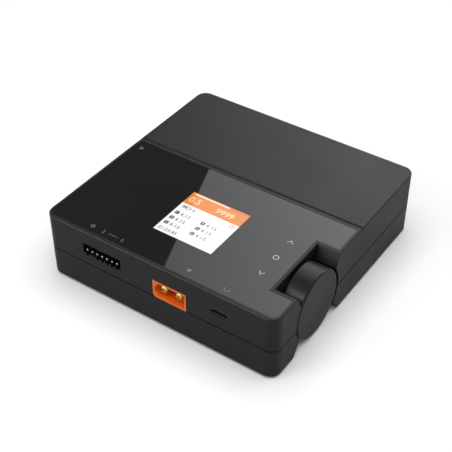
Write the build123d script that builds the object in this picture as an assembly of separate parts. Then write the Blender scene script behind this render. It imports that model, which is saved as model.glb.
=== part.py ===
from build123d import *
import os
from math import sqrt

os.makedirs("parts", exist_ok=True)

# Balance battery charger with a built-in mains supply.
# Frame: X to the right, Y to the back, Z up. The origin is on the table, under the case's centre.
# The sockets are in the front face (-Y), and the control drum is in the right side (+X).

# ------------------------------------------------------------------ case
case_width = 110.0            # X
case_depth = 110.0            # Y
case_height = 30.0            # underside to lid, without the feet
foot_stand = 1.0              # how far the feet hold the case off the table
corner_radius = 4.8           # upright corners
edge_round = 0.5              # edges of the lid
underside_round = 0.4         # edges of the underside
wall = 2.0
floor_thickness = 2.0
roof_thickness = 2.0
parting_height = 13.6         # rim of the lower shell above the underside
groove_height = 0.5           # shadow groove along the parting line
groove_depth = 0.6
seam_from_front = 63.3        # the groove across the lid
seam_width = 0.5
seam_depth = 0.8
seam_round = 0.8              # the rear lip of that groove

# ------------------------------------------------------------------ glass panel and screen
panel_side_border = 1.45      # frame left round the glass
panel_front_border = 1.75
panel_back_border = 1.6       # between the glass and the seam
panel_recess_border = 1.5
panel_thickness = 1.2
panel_sunk = 0.1              # the glass lies this much under the lid's rim
panel_shelf = 1.8             # what carries the glass
panel_play = 0.05
screen_from_centre = 0.4
screen_from_front = 31.35
module_width = 32.0
module_depth = 37.0
module_thickness = 1.8
window_play = 0.2

# ------------------------------------------------------------------ control drum
drum_radius = 14.8
drum_length = 8.9
drum_gap = 0.8                # between the drum and its recess
drum_from_front = 30.4
drum_height = 15.0            # axis above the underside
drum_skin = 2.0
drum_face = 2.0
drum_round = 0.8
recess_depth = 10.15          # from the right side to the recess's inner wall
recess_neck = 13.0            # half width where the round part ends
recess_top = 15.6             # half width at the lid
recess_bottom = 16.9          # half width at the underside
recess_skin = 1.6
neck_round = 0.6
shaft_radius = 3.0
shaft_flat = 1.0
shaft_play = 0.05
collar_radius = 3.7
collar_length = 1.5
hub_radius = 5.0
bush_radius = 3.8
bush_reach = 1.95             # beyond the recess's inner wall
hub_gap = 0.75                # between the bush and the hub, which the press closes
nut_width = 10.0              # across the flats
nut_thickness = 1.2
encoder_size = 12.5
encoder_depth = 7.5
encoder_back = 1.0            # thickness of its closed end
encoder_bore = 4.0
press_travel = 0.5
plunger_radius = 3.75
plunger_thickness = 1.0
plunger_room = 0.15           # left behind the plunger when it is pressed home
dome_radius = 2.6
dome_thickness = 0.12
encoder_board_width = 18.0

# ------------------------------------------------------------------ boards
board_thickness = 1.6
power_board_stand = 3.0       # above the floor
board_wall_gap = 2.0
standoff_radius = 2.75
board_screw_radius = 1.0
board_screw_hole = 1.3
board_screw_head = 2.1
board_screw_head_height = 1.5
board_screw_bite = 2.4
pilot_play = 0.05
case_screw_inset = 7.0
case_boss_radius = 3.2
case_screw_radius = 1.25
case_screw_hole = 1.6
case_screw_head = 2.6
case_screw_head_height = 2.0
case_screw_sink = 3.0
case_screw_length = 18.0
foot_radius = 5.0
foot_pocket = 0.8
foot_play = 0.1
foot_from_side = 17.0
foot_from_end = 8.5

# ------------------------------------------------------------------ power sockets, two round pins each
socket_width = 15.8
socket_height = 8.6
socket_length = 15.0
socket_rim = 0.9
socket_hollow = 8.6
socket_bevel = 1.0
hollow_bevel = 2.1
power_pin_radius = 1.75
power_pin_pitch = 7.2
power_pin_sunk = 1.2
power_pin_play = 0.04
power_pin_shank = 1.5         # radius inside the socket's closed end
power_pin_slot = 0.3
power_pin_slot_depth = 3.2
power_pin_tip = 0.9             # round of the tip
power_tail_radius = 1.2
battery_socket_x = 6.95       # from the case's centre
dc_socket_from_front = 54.0
port_play = 0.08

# ------------------------------------------------------------------ balance header, seven pins
balance_x = -26.1
balance_z = 21.4              # centre of its mouth above the underside
balance_mouth_width = 18.9
balance_mouth_height = 4.9
balance_ways = 7
balance_pitch = 2.5
balance_pin = 0.64
balance_pin_height = 20.9     # pins above the underside
balance_pin_sunk = 0.3
balance_hollow = 6.5
balance_body_wall = 0.8
balance_body_length = 8.5
key_width = 1.5
key_offset = 0.2                # to the right of its pin
key_depth = 1.0
balance_keys = (0, 2, 3, 4, 5, 6)

# ------------------------------------------------------------------ micro USB socket
usb_x = 30.3
usb_z = 21.1
usb_width = 8.3
usb_height = 2.6
usb_length = 5.2
usb_metal = 0.3
usb_sunk = 0.3                  # its shell behind the front face
usb_step = 0.25                 # shallow step in the case round its mouth
usb_tongue_width = 4.6
usb_tongue_height = 0.7
usb_tongue_sunk = 1.0

# ------------------------------------------------------------------ mains inlet
inlet_x = -32.0
inlet_width = 20.0
inlet_height = 12.4
inlet_length = 17.0
inlet_lobe_radius = 4.55
inlet_lobe_pitch = 5.6
inlet_hollow = 12.0
inlet_pin_radius = 1.2
inlet_pin_pitch = 8.6
inlet_pin_sunk = 2.5
inlet_pin_play = 0.04
inlet_pin_shank = 1.0         # radius inside the inlet's closed end
inlet_tail_radius = 0.7

# ------------------------------------------------------------------ fan
fan_x = 28.0
fan_size = 25.0
fan_depth = 7.0
fan_bore = 11.7
fan_hub_radius = 5.6
fan_hub_length = 5.2
fan_hub_skin = 0.8
fan_blades = 7
fan_blade_tip = 11.2
fan_blade_thickness = 0.8
fan_blade_pitch = 38.0
fan_shaft_radius = 0.75
fan_shaft_play = 0.05
fan_stator_radius = 4.3
fan_strut_width = 1.4
fan_strut_thickness = 1.2
fan_hole_radius = 1.4
grille_slot = 1.7
grille_pitch = 3.1
grille_radius = 11.2

# ------------------------------------------------------------------ vents in the underside
vent_x = 31.0
vent_y = 22.0
vent_count = 7
vent_pitch = 3.6
vent_width = 1.8
vent_length = 22.0

# ------------------------------------------------------------------ components on the boards
transformer_x = 2.0
transformer_from_back = 31.0
core_width = 22.0
core_depth = 10.0
core_height = 18.0
core_leg = 3.0                # outer legs and yokes; the middle leg is twice as wide
winding_reach = 4.5           # beyond the core's faces
winding_play = 0.1
bulk_radius = 8.0
bulk_length = 24.0
bulk_from_back = 12.5
choke_radius = 8.0
choke_bore = 3.2
choke_height = 8.0
choke_from_back = 40.5
film_width = 7.5
film_depth = 17.0
film_height = 13.5
film_from_back = 34.0
fuse_width = 16.0
fuse_depth = 7.0
fuse_height = 5.5
fuse_radius = 2.6
fuse_from_back = 25.5
rectifier_width = 3.6
rectifier_depth = 15.0
rectifier_height = 11.0
rectifier_from_back = 24.0
sink_width = 18.0
sink_depth = 24.0
sink_height = 16.0
sink_foot = 3.0
sink_fin = 1.8
sink_fins = 5
transistor_thickness = 4.5
transistor_width = 10.0
transistor_height = 14.0
transistor_spread = 13.0
inductor_size = 13.0
inductor_height = 7.0
inductor_pitch = 16.0
inductor_from_front = 32.0
can_radius = 4.0
can_height = 9.0
can_pitch = 10.5
can_x = -27.25                # middle of the four cans
can_from_front = 32.25
mosfet_width = 5.2
mosfet_depth = 6.0
mosfet_height = 1.1
mosfet_pitch = 7.5
mosfet_rows = (20.5, 46.8)    # from the front face
bleed_width = 3.2
bleed_depth = 2.6
bleed_height = 0.7
bleed_pitch = 4.2
bleed_count = 6
bleed_from_front = 19.5
link_length = 24.0
link_width = 2.5
chip_size = 10.0
chip_height = 1.4
chip_x = -9.0
chip_from_front = 29.0
buzzer_radius = 4.5
buzzer_height = 4.0
buzzer_from_front = 28.0
connector_width = 14.0
connector_depth = 4.0
connector_height = 1.6
ribbon_width = 12.0
ribbon_thickness = 0.25
sheet_thickness = 0.4

# ------------------------------------------------------------------ places worked out from the above
left = -case_width / 2
right = case_width / 2
front = -case_depth / 2
back = case_depth / 2
base = foot_stand
lid = base + case_height
parting = base + parting_height
floor_top = base + floor_thickness
mid_z = base + case_height / 2

panel_top = lid - panel_sunk
panel_under = panel_top - panel_thickness
front_ceiling = panel_under - panel_shelf
back_ceiling = lid - roof_thickness
seam_y = front + seam_from_front
panel_back = seam_y - panel_back_border
screen_y = front + screen_from_front

drum_y = front + drum_from_front
drum_z = base + drum_height
drum_start = right - drum_length
recess_radius = drum_radius + drum_gap
recess_x = right - recess_depth
neck_drop = sqrt(recess_radius ** 2 - recess_neck ** 2)
encoder_front = recess_x - recess_skin
encoder_rear = encoder_front - encoder_depth
bush_end = recess_x + bush_reach
hub_start = bush_end + hub_gap
plunger_start = encoder_rear + encoder_back + press_travel + plunger_room
shaft_start = plunger_start + plunger_thickness + shaft_play

power_board_z = floor_top + power_board_stand
power_board_top = power_board_z + board_thickness
control_board_top = base + usb_z - usb_height / 2
control_board_z = control_board_top - board_thickness
control_board_back = screen_y + module_depth / 2 - 6.5
control_board_right = encoder_rear - board_thickness - 1.2
socket_z = parting + socket_height / 2
dc_socket_y = front + dc_socket_from_front
power_tail_y = socket_length - power_tail_radius - 0.3
inlet_z = mid_z
inlet_tail_y = back - inlet_length - 1.5
fan_front = back - wall - fan_depth
sink_x = vent_x + 3.5
sink_y = vent_y - 1.0
ribbon_y = screen_y + module_depth / 2 - 12.0

case_screw_places = [
    (sx * (case_width / 2 - case_screw_inset), sy * (case_depth / 2 - case_screw_inset))
    for sx in (-1, 1)
    for sy in (-1, 1)
]
foot_places = [
    (sx * (case_width / 2 - foot_from_side), sy * (case_depth / 2 - foot_from_end))
    for sx in (-1, 1)
    for sy in (-1, 1)
]
power_board_screw_places = [
    (left + 9.0, front + 15.5),
    (left + 9.0, back - 21.0),
    (right - 9.0, back - 13.0),
    (encoder_rear - 8.0, front + 10.0),
]
control_board_screw_places = [
    (left + 10.0, front + 16.0),
    (left + 10.0, control_board_back - 4.0),
    (control_board_right - 4.0, control_board_back - 4.0),
    (control_board_right - 4.0, front + 19.0),
]


# ------------------------------------------------------------------ plain helpers
def block(x0, x1, y0, y1, z0, z1):
    """A box between two corners."""
    return Pos((x0 + x1) / 2, (y0 + y1) / 2, (z0 + z1) / 2) * Box(x1 - x0, y1 - y0, z1 - z0)


def post(x, y, z0, z1, radius):
    """An upright round bar."""
    return Pos(x, y, (z0 + z1) / 2) * Cylinder(radius, z1 - z0)


def rod_x(y, z, x0, x1, radius):
    """A round bar along X."""
    return Pos((x0 + x1) / 2, y, z) * Rot(0, 90, 0) * Cylinder(radius, x1 - x0)


def rod_y(x, z, y0, y1, radius):
    """A round bar along Y."""
    return Pos(x, (y0 + y1) / 2, z) * Rot(90, 0, 0) * Cylinder(radius, y1 - y0)


def prism_x(outline, x0, x1):
    """An outline drawn in (Y, Z), run from x0 to x1."""
    return extrude(Plane.YZ.offset(x0) * outline, amount=x1 - x0)


def prism_y(outline, y0, y1):
    """An outline drawn in (X, Z), run from y0 to y1."""
    return extrude(Plane.XZ.offset(-y0) * outline, amount=y0 - y1)


def plan(inset, z0, z1):
    """The case's rounded plan, drawn in by an inset, between two heights."""
    radius = max(corner_radius - inset, 0.6)
    outline = RectangleRounded(case_width - 2 * inset, case_depth - 2 * inset, radius)
    return extrude(Pos(0, 0, z0) * outline, amount=z1 - z0)


def group(pieces):
    """Like pieces kept as separate solids in one node."""
    return Compound(children=pieces)


# ------------------------------------------------------------------ the drum's recess
def flare(rim_half, grow, up):
    """One mouth of the recess: straight sides that widen from the neck to the case's face."""
    drop = case_height / 2 - neck_drop
    beyond = 2.0
    slope = (rim_half - recess_neck) / drop
    outer = recess_neck + slope * (drop + beyond)
    y0 = up * neck_drop
    y1 = up * (neck_drop + drop + beyond)
    return make_face(
        Polyline(
            (-recess_neck - grow, y0),
            (recess_neck + grow, y0),
            (outer + grow, y1),
            (-outer - grow, y1),
            close=True,
        )
    )


def recess(grow, x0):
    """The space round the drum, open above, below and at the side."""
    outline = Circle(recess_radius + grow) + flare(recess_top, grow, 1) + flare(recess_bottom, grow, -1)
    if grow == 0:
        necks = outline.vertices().filter_by(lambda v: abs(abs(v.X) - recess_neck) < 0.01)
        outline = fillet(necks, neck_round)
    return prism_x(Pos(drum_y, drum_z) * outline, x0, right + 2 * grow + 1)


def case_form():
    """The outside of the closed case, with the drum's recess cut in."""
    form = plan(0, base, lid) - recess(0, recess_x)
    form = fillet(form.edges().group_by(Axis.Z)[-1], edge_round)
    return fillet(form.edges().group_by(Axis.Z)[0], underside_round)


def parting_groove():
    """A shadow groove all round, where the shells meet."""
    half = groove_height / 2
    return plan(-1, parting - half, parting + half) - plan(groove_depth, parting - 1, parting + 1)


# ------------------------------------------------------------------ openings in the walls
def socket_outline(grow):
    """The power socket's outer section: square, with one lower corner bevelled."""
    w = socket_width / 2 + grow
    h = socket_height / 2 + grow
    b = socket_bevel
    return make_face(Polyline((w, -h), (w, h), (-w, h), (-w, b - h), (b - w, -h), close=True))


def socket_places():
    """The battery output in the front face and the direct-current input in the left face."""
    return {
        "battery": Pos(battery_socket_x, front, socket_z),
        "dc": Pos(left, dc_socket_y, socket_z) * Rot(0, 0, -90),
    }


def socket_holes():
    """Notches for the two power sockets, which reach down to the parting line."""
    hole = prism_y(socket_outline(port_play), -1, socket_length)
    holes = [place * hole for place in socket_places().values()]
    return holes[0] + holes[1]


def balance_mouth():
    """The balance header's slot, with key notches in its lower edge."""
    centre = base + balance_z
    low = centre - balance_mouth_height / 2
    mouth = block(
        balance_x - balance_mouth_width / 2,
        balance_x + balance_mouth_width / 2,
        front - 1,
        front + wall + 1,
        low,
        centre + balance_mouth_height / 2,
    )
    for way in balance_keys:
        x = balance_pin_x(way) + key_offset
        half = key_width / 2
        mouth += block(x - half, x + half, front - 1, front + wall + 1, low - key_depth, low + 1)
    return mouth


def usb_outline(grow):
    """The socket's section, with round ends."""
    return SlotOverall(usb_width + 2 * grow, usb_height + 2 * grow)


def usb_hole():
    """The USB socket's slot, with a shallow step round its mouth."""
    centre = Pos(usb_x, base + usb_z)
    slot = prism_y(centre * usb_outline(port_play), front - 1, front + wall + 1)
    return slot + prism_y(centre * usb_outline(port_play + usb_step), front - 1, front + usb_sunk)


def inlet_hole():
    """The square hole that the mains inlet fills."""
    return block(
        inlet_x - inlet_width / 2 - port_play,
        inlet_x + inlet_width / 2 + port_play,
        back - wall - 1,
        back + 1,
        inlet_z - inlet_height / 2 - port_play,
        inlet_z + inlet_height / 2 + port_play,
    )


def fan_grille():
    """Upright slots in the back wall, cut to a circle."""
    count = int(grille_radius / grille_pitch)
    slots = [
        block(x - grille_slot / 2, x + grille_slot / 2, back - wall - 1, back + 1, base, lid)
        for x in [fan_x + n * grille_pitch for n in range(-count, count + 1)]
    ]
    circle = rod_y(fan_x, mid_z, back - wall - 1, back + 1, grille_radius)
    return group(slots) & circle


def underside_vents():
    """Slots in the floor under the heat sink, with round ends."""
    slot = Rot(0, 0, 90) * SlotOverall(vent_length, vent_width)
    middle = (vent_count - 1) / 2
    places = [Pos(vent_x + (n - middle) * vent_pitch, vent_y, base - 1) for n in range(vent_count)]
    return [extrude(place * slot, amount=floor_thickness + 2) for place in places]


def balance_pin_x(way):
    """Where each pin of the balance header stands."""
    return balance_x + (way - (balance_ways - 1) / 2) * balance_pitch


# ------------------------------------------------------------------ shells
def lower_shell():
    """The tray: floor, walls, screw bosses, board standoffs and half of the drum's recess."""
    shell = case_form() & plan(-1, base - 1, parting)
    shell -= plan(wall, floor_top, parting + 1) - recess(recess_skin, recess_x - recess_skin)
    shell -= parting_groove()
    for x, y in case_screw_places:
        shell += post(x, y, floor_top, parting, case_boss_radius)
        shell -= post(x, y, base - 1, parting + 1, case_screw_hole)
        shell -= post(x, y, base - 1, base + case_screw_sink, case_screw_head + pilot_play)
    for x, y in power_board_screw_places:
        shell += post(x, y, floor_top, power_board_z, standoff_radius)
        pilot = board_screw_radius + pilot_play
        shell -= post(x, y, power_board_z - board_screw_bite, power_board_z + 1, pilot)
    for x, y in foot_places:
        shell -= post(x, y, base - 1, base + foot_pocket, foot_radius + foot_play)
    for slot in underside_vents():
        shell -= slot
    shell -= inlet_hole()
    shell -= fan_grille()
    shell -= bush_hole()
    return shell


def upper_shell():
    """The lid: roof, walls, the glass panel's bed, screw bosses and half of the drum's recess."""
    shell = case_form() & plan(-1, parting, lid + 1)
    housing = recess(recess_skin, recess_x - recess_skin)
    front_room = plan(wall, parting - 1, front_ceiling) & block(left, right, front, panel_back, base, lid)
    back_room = plan(wall, parting - 1, back_ceiling) & block(left, right, panel_back, back, base, lid)
    shell -= front_room - housing
    shell -= back_room - housing
    shell -= parting_groove()
    shell -= seam_groove()
    shell -= panel_form(panel_play, lid + 1)
    shell -= block(
        screen_from_centre - module_width / 2 - window_play,
        screen_from_centre + module_width / 2 + window_play,
        screen_y - module_depth / 2 - window_play,
        screen_y + module_depth / 2 + window_play,
        front_ceiling - 1,
        panel_under + 1,
    )
    for x, y in case_screw_places:
        ceiling = front_ceiling if y < panel_back else back_ceiling
        shell += post(x, y, parting, ceiling, case_boss_radius)
        reach = base + case_screw_sink + case_screw_length
        shell -= post(x, y, parting - 1, reach, case_screw_radius + pilot_play)
    for x, y in control_board_screw_places:
        shell += post(x, y, control_board_top, front_ceiling, standoff_radius)
        reach = control_board_top + board_screw_bite
        shell -= post(x, y, control_board_top - 1, reach, board_screw_radius + pilot_play)
    shell -= socket_holes()
    shell -= balance_mouth()
    shell -= usb_hole()
    shell -= inlet_hole()
    shell -= fan_grille()
    shell -= bush_hole()
    return shell


def bush_hole():
    """The hole in the recess's inner wall for the encoder's bush."""
    return rod_x(drum_y, drum_z, encoder_front - 1, recess_x + 1, bush_radius + pilot_play)


def seam_groove():
    """The groove across the lid, between the glass panel and the plain rear part."""
    back_lip = seam_y + seam_width
    groove = block(left - 1, right + 1, seam_y, back_lip, lid - seam_depth, lid + 1)
    lip = block(left - 1, right + 1, back_lip, back_lip + seam_round, lid - seam_round, lid + 1)
    return groove + (lip - rod_x(back_lip + seam_round, lid - seam_round, left - 2, right + 2, seam_round))


def panel_form(grow, top):
    """The glass panel's plan, notched round the drum's recess."""
    form = plan(panel_side_border - grow, panel_under, top)
    form &= block(left, right, front + panel_front_border - grow, panel_back + grow, base, lid + 2)
    half = recess_top + panel_recess_border - grow
    notch = block(
        recess_x - panel_recess_border + grow, right + 1, drum_y - half, drum_y + half, base, lid + 2
    )
    return form - notch


def panel_glass():
    """Black-backed glass, laid into the lid."""
    return panel_form(0, panel_top)


def display_module():
    """The colour screen, bonded under the glass in the lid's window."""
    return block(
        screen_from_centre - module_width / 2,
        screen_from_centre + module_width / 2,
        screen_y - module_depth / 2,
        screen_y + module_depth / 2,
        panel_under - module_thickness,
        panel_under,
    )


def feet():
    """Four rubber pads in round pockets."""
    return group([
        fillet(
            post(x, y, 0, base + foot_pocket, foot_radius).edges().group_by(Axis.Z)[0],
            foot_stand / 3,
        )
        for x, y in foot_places
    ])


def case_screws():
    """Four screws from below, which hold the shells together."""
    screws = []
    for x, y in case_screw_places:
        seat = base + case_screw_sink
        head = post(x, y, seat - case_screw_head_height, seat, case_screw_head)
        drive = extrude(Pos(x, y, seat - case_screw_head_height) * RegularPolygon(1.1, 6), amount=1.0)
        shank = post(x, y, seat, seat + case_screw_length - 1, case_screw_radius)
        screws.append(head - drive + shank)
    return group(screws)


# ------------------------------------------------------------------ control drum and its encoder
def control_drum():
    """The cup that the finger rolls, open towards the case."""
    cup = rod_x(drum_y, drum_z, drum_start, right, drum_radius)
    cup = fillet(cup.edges().group_by(Axis.X)[-1], drum_round)
    cup = fillet(cup.edges().group_by(Axis.X)[0], drum_round / 2)
    return cup - rod_x(drum_y, drum_z, drum_start - 1, right - drum_face, drum_radius - drum_skin)


def shaft_section(radius, flat):
    """A round section with one flat."""
    return Circle(radius) & Pos(0, flat / -2) * Rectangle(2 * radius, 2 * radius - flat)


def drum_hub():
    """The hub inside the cup, bored for the flatted shaft."""
    disc = 2.0
    hub = rod_x(drum_y, drum_z, hub_start, right - drum_face, hub_radius)
    inside = drum_radius - drum_skin - pilot_play
    plate = rod_x(drum_y, drum_z, right - drum_face - disc, right - drum_face, inside)
    section = Pos(drum_y, drum_z) * shaft_section(shaft_radius + shaft_play / 2, shaft_flat)
    return hub + plate - prism_x(section, hub_start - 1, shaft_end() + shaft_play)


def shaft_end():
    """The shaft stops inside the hub, short of the cup's face."""
    return right - drum_face - 1.0


def drum_shaft():
    """The encoder's shaft, with a collar inside the encoder and a flat for the hub."""
    collar_start = shaft_start + 0.6
    shaft = rod_x(drum_y, drum_z, shaft_start, hub_start - shaft_play, shaft_radius)
    shaft += rod_x(drum_y, drum_z, collar_start, collar_start + collar_length, collar_radius)
    section = Pos(drum_y, drum_z) * shaft_section(shaft_radius, shaft_flat)
    return shaft + prism_x(section, hub_start - shaft_play, shaft_end())


def push_plunger():
    """The disc that the shaft pushes against the snap dome."""
    return rod_x(drum_y, drum_z, plunger_start, plunger_start + plunger_thickness, plunger_radius)


def encoder_body():
    """The encoder's square case, behind the recess's inner wall."""
    half = encoder_size / 2
    body = block(encoder_rear, encoder_front, drum_y - half, drum_y + half, drum_z - half, drum_z + half)
    body -= rod_x(drum_y, drum_z, encoder_rear + encoder_back, encoder_front - 1, encoder_bore)
    return body - rod_x(drum_y, drum_z, encoder_front - 2, encoder_front + 1, shaft_radius + 2 * shaft_play)


def switch_dome():
    """The snap dome on the encoder's closed end."""
    start = encoder_rear + encoder_back
    return rod_x(drum_y, drum_z, start, start + dome_thickness, dome_radius)


def encoder_bush():
    """The threaded bush through the recess's wall, which the shaft turns in."""
    bush = rod_x(drum_y, drum_z, encoder_front, bush_end, bush_radius)
    return bush - rod_x(drum_y, drum_z, encoder_front - 1, bush_end + 1, shaft_radius + shaft_play)


def encoder_nut():
    """The hexagon nut that clamps the encoder to the wall."""
    hexagon = Pos(drum_y, drum_z) * RegularPolygon(nut_width / sqrt(3), 6)
    nut = prism_x(hexagon, recess_x, recess_x + nut_thickness)
    return nut - rod_x(drum_y, drum_z, recess_x - 1, bush_end, bush_radius + pilot_play)


def encoder_board():
    """The upright board behind the encoder, standing on the power board."""
    half = encoder_board_width / 2
    top = drum_z + encoder_size / 2 + 1.5
    rear = encoder_rear - board_thickness
    return block(rear, encoder_rear, drum_y - half, drum_y + half, power_board_top, top)


# ------------------------------------------------------------------ power sockets
def socket_body():
    """A socket's shroud, facing -Y at the origin."""
    w = socket_width / 2 - socket_rim
    h = socket_height / 2 - socket_rim
    b = hollow_bevel
    corners = [(w, -h), (w, h), (b - w, h), (-w, h - b), (-w, b - h), (b - w, -h)]
    hollow = make_face(Polyline(*corners, close=True))
    body = prism_y(socket_outline(0), 0, socket_length - 2 * power_tail_radius - 0.4)
    body -= prism_y(hollow, -1, socket_hollow)
    for side in (-1, 1):
        body -= rod_y(side * power_pin_pitch / 2, 0, 0, socket_length, power_pin_shank + power_pin_play)
    return body


def socket_pins():
    """Two round pins with split tips, whose tails turn down into the power board."""
    pins = []
    reach = socket_z - power_board_z + 1.0
    for side in (-1, 1):
        x = side * power_pin_pitch / 2
        pin = rod_y(x, 0, power_pin_sunk, socket_hollow, power_pin_radius)
        pin = fillet(pin.edges().group_by(Axis.Y)[0], power_pin_tip)
        pin += rod_y(x, 0, socket_hollow, socket_length, power_pin_shank)
        half = power_pin_slot / 2
        end = power_pin_sunk + power_pin_slot_depth
        wide = power_pin_radius + 1
        pin -= block(x - half, x + half, 0, end, -wide, wide)
        pin -= block(x - wide, x + wide, 0, end, -half, half)
        pin += post(x, power_tail_y, -reach, 0, power_tail_radius)
        pins.append(pin)
    return pins


def tail_places():
    """Where the four power tails pass through the power board."""
    places = []
    for side in (-1, 1):
        x = side * power_pin_pitch / 2
        places.append((battery_socket_x + x, front + power_tail_y))
        places.append((left + power_tail_y, dc_socket_y - x))
    return places


# ------------------------------------------------------------------ balance header
def balance_header_body():
    """The shrouded header behind the front wall, open to the front."""
    w = balance_mouth_width / 2 + balance_body_wall
    h = balance_mouth_height / 2 + balance_body_wall
    z = base + balance_z
    start = front + wall
    body = block(
        balance_x - w, balance_x + w, start, start + balance_body_length, z - h - key_depth, z + h
    )
    hollow_end = start + balance_hollow
    body -= block(
        balance_x - balance_mouth_width / 2,
        balance_x + balance_mouth_width / 2,
        start - 1,
        hollow_end,
        z - balance_mouth_height / 2,
        z + balance_mouth_height / 2,
    )
    for way in balance_keys:
        x = balance_pin_x(way) + key_offset
        low = z - balance_mouth_height / 2 - key_depth
        body -= block(x - key_width / 2, x + key_width / 2, start - 1, hollow_end, low, z)
    for way in range(balance_ways):
        body -= balance_leg(way, pilot_play, True)
    return body


def balance_leg(way, grow, bore):
    """One square pin, run straight back; a bore for it goes right through the body's rear."""
    x = balance_pin_x(way)
    z = base + balance_pin_height
    half = balance_pin / 2 + grow
    end = front + wall + balance_body_length + (1.0 if bore else 1.0 + balance_pin)
    return block(x - half, x + half, front + balance_pin_sunk, end, z - half, z + half)


def balance_header_pins():
    """Seven square pins, bent down behind the header into the control board."""
    pins = []
    end = front + wall + balance_body_length + 1.0 + balance_pin
    for way in range(balance_ways):
        x = balance_pin_x(way)
        half = balance_pin / 2
        tail = block(
            x - half, x + half, end - balance_pin, end, control_board_z - 0.8, base + balance_pin_height
        )
        pins.append(balance_leg(way, 0, False) + tail)
    return group(pins)


# ------------------------------------------------------------------ micro USB socket
def usb_shell():
    """The folded steel shell of the socket, on the control board."""
    centre = Pos(usb_x, base + usb_z)
    shell = prism_y(centre * usb_outline(0), front + usb_sunk, front + usb_sunk + usb_length)
    return shell - prism_y(centre * usb_outline(-usb_metal), front - 1, front + usb_length - 0.5)


def usb_tongue():
    """The contact tongue inside the socket."""
    z = base + usb_z + 0.2
    half = usb_tongue_width / 2
    return block(
        usb_x - half,
        usb_x + half,
        front + usb_tongue_sunk,
        front + usb_length - 0.5,
        z,
        z + usb_tongue_height,
    )


# ------------------------------------------------------------------ mains inlet
def mains_inlet_body():
    """The two-pin inlet, filling its hole in the back wall and standing on the power board."""
    start = back - inlet_length
    body = block(
        inlet_x - inlet_width / 2,
        inlet_x + inlet_width / 2,
        start,
        back,
        inlet_z - inlet_height / 2,
        inlet_z + inlet_height / 2,
    )
    mouth = SlotCenterToCenter(inlet_lobe_pitch, 2 * inlet_lobe_radius)
    body -= prism_y(Pos(inlet_x, inlet_z) * mouth, back - inlet_hollow, back + 1)
    for side in (-1, 1):
        x = inlet_x + side * inlet_pin_pitch / 2
        body -= rod_y(x, inlet_z, start - 1, back - inlet_hollow + 1, inlet_pin_shank + inlet_pin_play)
    half = inlet_width / 2
    foot_top = inlet_z - inlet_height / 2
    return body + block(inlet_x - half, inlet_x + half, start, back - wall - 1, power_board_top, foot_top)


def mains_inlet_pins():
    """Two round pins, whose tails turn down behind the inlet."""
    pins = []
    for side in (-1, 1):
        x = inlet_x + side * inlet_pin_pitch / 2
        pin = rod_y(x, inlet_z, back - inlet_hollow, back - inlet_pin_sunk, inlet_pin_radius)
        pin = fillet(pin.edges().group_by(Axis.Y)[-1], 0.5)
        pin += rod_y(x, inlet_z, inlet_tail_y - inlet_pin_shank, back - inlet_hollow, inlet_pin_shank)
        pin += post(x, inlet_tail_y, power_board_z - 0.8, inlet_z, inlet_tail_radius)
        pins.append(pin)
    return group(pins)


# ------------------------------------------------------------------ fan
def fan_frame():
    """The square frame against the back wall, with three struts and the motor's core."""
    half = fan_size / 2
    frame = block(fan_x - half, fan_x + half, fan_front, back - wall, mid_z - half, mid_z + half)
    frame = fillet(frame.edges().filter_by(Axis.Y), 2.0)
    frame -= rod_y(fan_x, mid_z, fan_front - 1, back, fan_bore)
    corner = half - 2.5
    for sx in (-1, 1):
        for sz in (-1, 1):
            frame -= rod_y(fan_x + sx * corner, mid_z + sz * corner, fan_front - 1, back, fan_hole_radius)
    end = back - wall
    for turn in (90, 210, 330):
        half_strut = fan_strut_width / 2
        strut = block(0, fan_bore + 0.3, end - fan_strut_thickness, end, -half_strut, half_strut)
        frame += Pos(fan_x, 0, mid_z) * Rot(0, turn, 0) * strut
    frame += rod_y(fan_x, mid_z, end - fan_strut_thickness, end, fan_hub_radius)
    core_start = fan_front + 0.3 + fan_hub_skin + 0.5
    frame += rod_y(fan_x, mid_z, core_start, end, fan_stator_radius)
    return frame - rod_y(fan_x, mid_z, core_start - 1, end - 0.4, fan_shaft_radius + fan_shaft_play)


def fan_rotor():
    """The impeller: a cup, seven pitched blades and the shaft that turns in the core."""
    start = fan_front + 0.3
    end = start + fan_hub_length
    cup = rod_y(fan_x, mid_z, start, end, fan_hub_radius)
    cup -= rod_y(fan_x, mid_z, start + fan_hub_skin, end + 1, fan_hub_radius - fan_hub_skin)
    middle = (start + end) / 2
    ring = rod_y(fan_x, mid_z, start, end, fan_blade_tip)
    ring -= rod_y(fan_x, mid_z, start - 1, end + 1, fan_hub_radius - fan_hub_skin / 2)
    reach = (fan_blade_tip + 1 - fan_hub_radius + fan_hub_skin) / 2
    for n in range(fan_blades):
        blade = Pos(fan_hub_radius - fan_hub_skin + reach, 0, 0) * Rot(fan_blade_pitch, 0, 0)
        blade *= Box(2 * reach, 2 * fan_hub_length, fan_blade_thickness)
        cup += (Pos(fan_x, middle, mid_z) * Rot(0, 360 * n / fan_blades, 0) * blade) & ring
    return cup + rod_y(fan_x, mid_z, start, back - wall - 1.0, fan_shaft_radius)


# ------------------------------------------------------------------ boards and what stands on them
def corner_cuts():
    """What the boards leave free for the case's four screw bosses."""
    reach = case_screw_inset + case_boss_radius + 1.0
    open_x = case_width / 2 - reach
    open_y = case_depth / 2 - reach
    whole = block(left, right, front, back, base, lid)
    whole -= block(-open_x, open_x, front, back, base, lid)
    return whole - block(left, right, -open_y, open_y, base, lid)


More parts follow.
